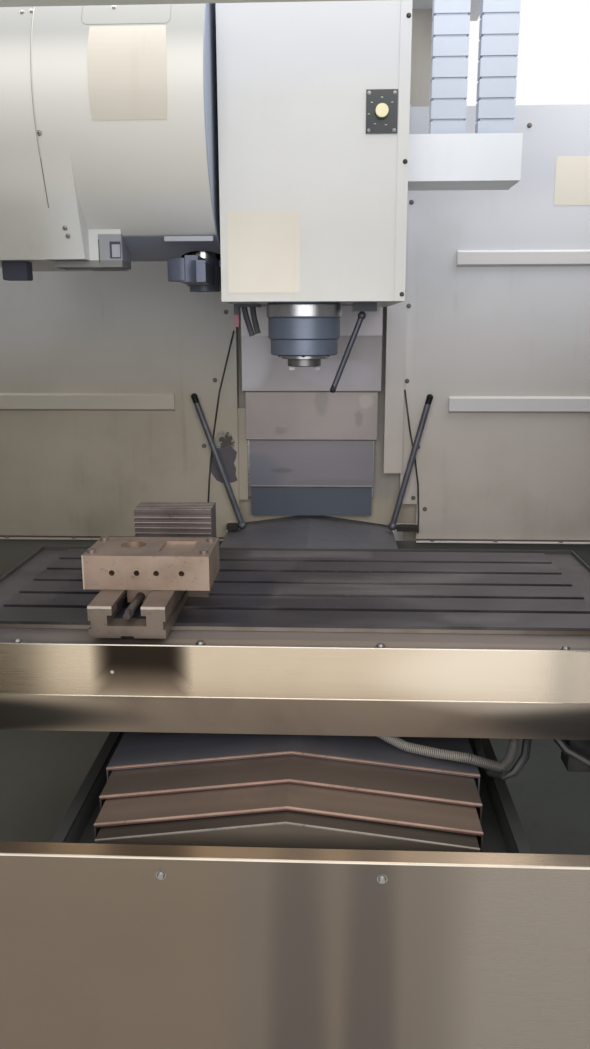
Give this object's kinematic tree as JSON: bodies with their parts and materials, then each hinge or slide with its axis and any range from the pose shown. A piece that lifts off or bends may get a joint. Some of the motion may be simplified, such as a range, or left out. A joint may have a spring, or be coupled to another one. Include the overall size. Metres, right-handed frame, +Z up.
{
  "type": "cnc machining center",
  "caption": "Vertical machining center with slotted table, telescopic way covers, arm tool changer and sliding-door guard, shown with its doors open and a vise on the table.",
  "frame": {"origin": "on the floor under the middle of the guard's outline", "axes": "+Z up, +X to the operator's right, the operator stands on the -Y side; the table's long side runs along X"},
  "size_m": [2.7, 2.658, 2.916],
  "materials": {
    "casting_paint": "thick satin machine paint",
    "bed_paint": "thick grey machine paint",
    "panel_paint": "warm light grey powder coat",
    "rear_paint": "grey beige powder coat, oil film",
    "table_iron": "scraped cast iron, oiled",
    "sill_steel": "brushed stainless sheet",
    "cover_steel": "worn stainless cover plate",
    "ground_steel": "ground steel",
    "vise_steel": "ground tool steel, light rust",
    "black_oxide": "black oxide",
    "chrome_ring": "polished",
    "motor_black": "black paint",
    "hose_rubber": "matte",
    "chain_plastic": "moulded nylon",
    "cream_plastic": "moulded",
    "red_plastic": "moulded",
    "panel_plate": "dark plate"
  },
  "bodies": {
    "frame": {"base_casting": "bed_paint", "levelling_feet": "ground_steel", "chip_pan": "bed_paint", "way_rails": "ground_steel", "axis_motors": "motor_black", "column_casting": "casting_paint", "chain_support": "panel_paint", "drum_cover": "panel_paint", "atc_gearbox": "casting_paint", "rear_panel_left": "rear_paint", "rear_panel_right": "rear_paint", "z_cover_strip": "bed_paint", "y_cover_4": "cover_steel", "wall_wires": "hose_rubber", "side_walls": "panel_paint", "front_sill": "sill_steel", "front_fascia": "panel_paint", "operator_panel": "panel_plate", "electrical_cabinet": "panel_paint"},
    "saddle": {"saddle_casting": "casting_paint", "x_rails": "ground_steel", "x_servo_motor": "motor_black", "y_cover_1": "cover_steel", "rear_roof": "bed_paint", "saddle_hoses": "hose_rubber"},
    "table": {"table": "table_iron", "table_trough": "cover_steel", "table_apron": "sill_steel", "vise_body": "vise_steel", "vise_rear_jaw": "vise_steel"},
    "vise_jaw": {"vise_front_jaw": "vise_steel"},
    "vise_screw": {"vise_screw": "ground_steel"},
    "head": {"head_casting": "casting_paint", "head_cover": "panel_paint", "spindle_motor": "motor_black", "spindle_housing": "black_oxide", "button_plate": "panel_plate", "head_hoses": "hose_rubber", "cable_bracket": "panel_paint", "z_cover_1": "cover_steel", "cable_chains": "chain_plastic"},
    "spindle": {"tool_spindle": "ground_steel"},
    "button": {"release_button": "cream_plastic"},
    "nozzle": {"head_nozzle": "black_oxide"},
    "y_screw": {"y_ball_screw": "ground_steel"},
    "x_screw": {"x_ball_screw": "ground_steel"},
    "z_screw": {"z_ball_screw": "ground_steel"},
    "y_plate_2": {"y_cover_2": "cover_steel"},
    "y_plate_3": {"y_cover_3": "cover_steel"},
    "z_plate_2": {"z_cover_2": "cover_steel"},
    "z_plate_3": {"z_cover_3": "cover_steel"},
    "magazine": {"tool_magazine": "ground_steel"},
    "sleeve": {"arm_sleeve": "chrome_ring"},
    "arm": {"change_arm": "black_oxide"},
    "wash_left": {"wash_pipe_left": "black_oxide"},
    "wash_right": {"wash_pipe_right": "black_oxide"},
    "left_door": {"door_left": "panel_paint"},
    "right_door": {"door_right": "panel_paint"},
    "stop": {"stop_button": "red_plastic"},
    "rear_door": {"cabinet_door": "panel_paint"}
  },
  "joints": [
    {"name": "y_axis", "type": "slide", "parent": "frame", "child": "saddle", "axis": [0, 1, 0], "range_m": [-0.05, 0.55]},
    {"name": "x_axis", "type": "slide", "parent": "saddle", "child": "table", "axis": [1, 0, 0], "range_m": [-0.525, 0.525]},
    {"name": "z_axis", "type": "slide", "parent": "frame", "child": "head", "axis": [0, 0, 1], "range_m": [-0.35, 0.28], "deforming": ["cable_chains"]},
    {"name": "spindle_spin", "type": "hinge", "parent": "head", "child": "spindle", "pos_m": [0, -0.175, 1.6], "axis": [0, 0, 1], "continuous": true},
    {"name": "y_screw_spin", "type": "hinge", "parent": "frame", "child": "y_screw", "pos_m": [0, 0, 0.59], "axis": [0, 1, 0], "range_deg": [-1500.5, 16500.5]},
    {"name": "x_screw_spin", "type": "hinge", "parent": "saddle", "child": "x_screw", "pos_m": [0, -0.532, 0.919], "axis": [1, 0, 0], "range_deg": [-15750.5, 15750.5]},
    {"name": "z_screw_spin", "type": "hinge", "parent": "frame", "child": "z_screw", "pos_m": [0, 0.59, 1.8], "axis": [0, 0, 1], "range_deg": [-10500.5, 8400.5]},
    {"name": "y_plate_2_slide", "type": "slide", "parent": "frame", "child": "y_plate_2", "axis": [0, 1, 0], "range_m": [-0.034, 0.367]},
    {"name": "y_plate_3_slide", "type": "slide", "parent": "frame", "child": "y_plate_3", "axis": [0, 1, 0], "range_m": [-0.017, 0.184]},
    {"name": "z_plate_2_slide", "type": "slide", "parent": "frame", "child": "z_plate_2", "axis": [0, 0, 1], "range_m": [-0.2105, 0.1685]},
    {"name": "z_plate_3_slide", "type": "slide", "parent": "frame", "child": "z_plate_3", "axis": [0, 0, 1], "range_m": [-0.0705, 0.0565]},
    {"name": "magazine_spin", "type": "hinge", "parent": "frame", "child": "magazine", "pos_m": [-0.54, -0.077, 2.18], "axis": [1, 0, 0], "continuous": true},
    {"name": "arm_plunge", "type": "slide", "parent": "frame", "child": "sleeve", "axis": [0, 0, 1], "range_m": [-0.11, 0]},
    {"name": "arm_swing", "type": "hinge", "parent": "sleeve", "child": "arm", "pos_m": [-0.27, -0.126, 1.79], "axis": [0, 0, 1], "range_deg": [-2, 10]},
    {"name": "door_left_slide", "type": "slide", "parent": "frame", "child": "left_door", "axis": [1, 0, 0], "range_m": [0, 0.59]},
    {"name": "door_right_slide", "type": "slide", "parent": "frame", "child": "right_door", "axis": [-1, 0, 0], "range_m": [0, 0.59]},
    {"name": "release_button_press", "type": "slide", "parent": "head", "child": "button", "axis": [0, 1, 0], "range_m": [0, 0.006], "stiffness_N_per_m": 400, "springref_m": -0.002},
    {"name": "nozzle_swivel", "type": "hinge", "parent": "head", "child": "nozzle", "pos_m": [0.152, -0.175, 1.6817], "axis": [0, 1, 0], "range_deg": [-15, 3]},
    {"name": "wash_left_swivel", "type": "hinge", "parent": "frame", "child": "wash_left", "pos_m": [-0.24, 0.452, 0.968], "axis": [0, 1, 0], "range_deg": [-10, 10]},
    {"name": "wash_right_swivel", "type": "hinge", "parent": "frame", "child": "wash_right", "pos_m": [0.29, 0.452, 0.968], "axis": [0, 1, 0], "range_deg": [-10, 10]},
    {"name": "vise_slide", "type": "slide", "parent": "table", "child": "vise_jaw", "axis": [0, 1, 0], "range_m": [-0.06, 0.14]},
    {"name": "vise_screw_spin", "type": "hinge", "parent": "table", "child": "vise_screw", "pos_m": [-0.325, -0.6, 1.1], "axis": [0, 1, 0], "range_deg": [-3600.5, 8400.5]},
    {"name": "stop_press", "type": "slide", "parent": "frame", "child": "stop", "axis": [0, 1, 0], "range_m": [0, 0.005]},
    {"name": "rear_door_swing", "type": "hinge", "parent": "frame", "child": "rear_door", "pos_m": [-0.47, 1.32, 1.7], "axis": [0, 0, 1], "range_deg": [0, 110]}
  ],
  "couplings": [
    {"joint": "y_screw_spin", "follows": "y_axis", "rad_per_m": 523.6},
    {"joint": "x_screw_spin", "follows": "x_axis", "rad_per_m": 523.6},
    {"joint": "z_screw_spin", "follows": "z_axis", "rad_per_m": 523.6},
    {"joint": "y_plate_2_slide", "follows": "y_axis", "ratio": 0.66667},
    {"joint": "y_plate_3_slide", "follows": "y_axis", "ratio": 0.33333},
    {"joint": "z_plate_2_slide", "follows": "z_axis", "ratio": 0.6},
    {"joint": "z_plate_3_slide", "follows": "z_axis", "ratio": 0.2},
    {"joint": "vise_screw_spin", "follows": "vise_slide", "rad_per_m": 1047.2}
  ]
}
